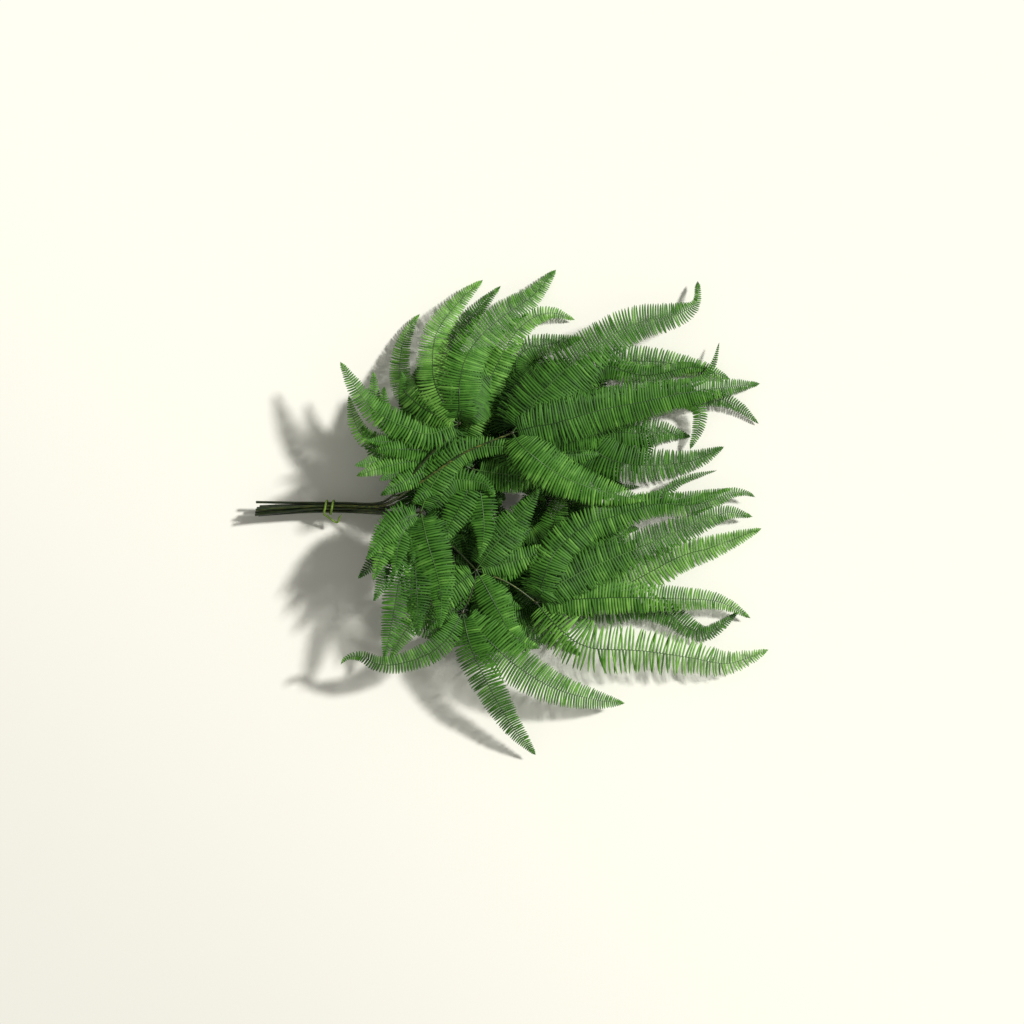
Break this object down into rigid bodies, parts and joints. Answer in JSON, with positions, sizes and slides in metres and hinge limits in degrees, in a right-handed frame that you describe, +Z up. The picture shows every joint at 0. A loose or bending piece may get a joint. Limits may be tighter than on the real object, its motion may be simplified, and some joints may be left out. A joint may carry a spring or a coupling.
{
  "type": "bunch of umbrella fern fronds",
  "caption": "Tied bunch of cut umbrella fern fronds with forking, comb-like leaves, lying on its side.",
  "frame": {"origin": "on the surface the bunch lies on, under the middle of its plan box", "axes": "+X along the stalks from the cut ends to the leaf tips, +Z up from the surface"},
  "size_m": [0.6012, 0.569, 0.1065],
  "materials": {
    "leaf": "satin",
    "stalk": "satin",
    "tie": "matte"
  },
  "bodies": {
    "root": {"centre_pinna_1": "leaf", "centre_pinna_2": "leaf", "centre_pinna_3": "leaf", "centre_pinna_4": "leaf", "centre_stalk": "stalk", "low_left_pinna_1": "leaf", "low_left_pinna_2": "leaf", "low_left_pinna_3": "leaf", "low_left_pinna_4": "leaf", "low_left_stalk": "stalk", "low_right_branch_1": "stalk", "low_right_pinna_1": "leaf", "low_right_pinna_2": "leaf", "low_right_pinna_3": "leaf", "low_right_pinna_4": "leaf", "low_right_pinna_5": "leaf", "low_right_pinna_6": "leaf", "low_right_stalk": "stalk", "low_top_pinna_1": "leaf", "low_top_pinna_2": "leaf", "low_top_pinna_3": "leaf", "low_top_pinna_4": "leaf", "low_top_pinna_5": "leaf", "low_top_stalk": "stalk", "low_upper_pinna_1": "leaf", "low_upper_pinna_2": "leaf", "low_upper_pinna_3": "leaf", "low_upper_pinna_4": "leaf", "low_upper_pinna_5": "leaf", "low_upper_pinna_6": "leaf", "low_upper_stalk": "stalk", "lower_branch_1": "stalk", "lower_branch_2": "stalk", "lower_pinna_1": "leaf", "lower_pinna_10": "leaf", "lower_pinna_11": "leaf", "lower_pinna_2": "leaf", "lower_pinna_3": "leaf", "lower_pinna_4": "leaf", "lower_pinna_5": "leaf", "lower_pinna_6": "leaf", "lower_pinna_7": "leaf", "lower_pinna_8": "leaf", "lower_pinna_9": "leaf", "lower_stalk": "stalk", "mid_right_pinna_1": "leaf", "mid_right_pinna_2": "leaf", "mid_right_pinna_3": "leaf", "mid_right_pinna_4": "leaf", "mid_right_stalk": "stalk", "tie": "tie", "upper_left_pinna_1": "leaf", "upper_left_pinna_2": "leaf", "upper_left_pinna_3": "leaf", "upper_left_pinna_4": "leaf", "upper_left_stalk": "stalk", "upper_right_pinna_1": "leaf", "upper_right_pinna_2": "leaf", "upper_right_pinna_3": "leaf", "upper_right_stalk": "stalk"}
  },
  "joints": []
}
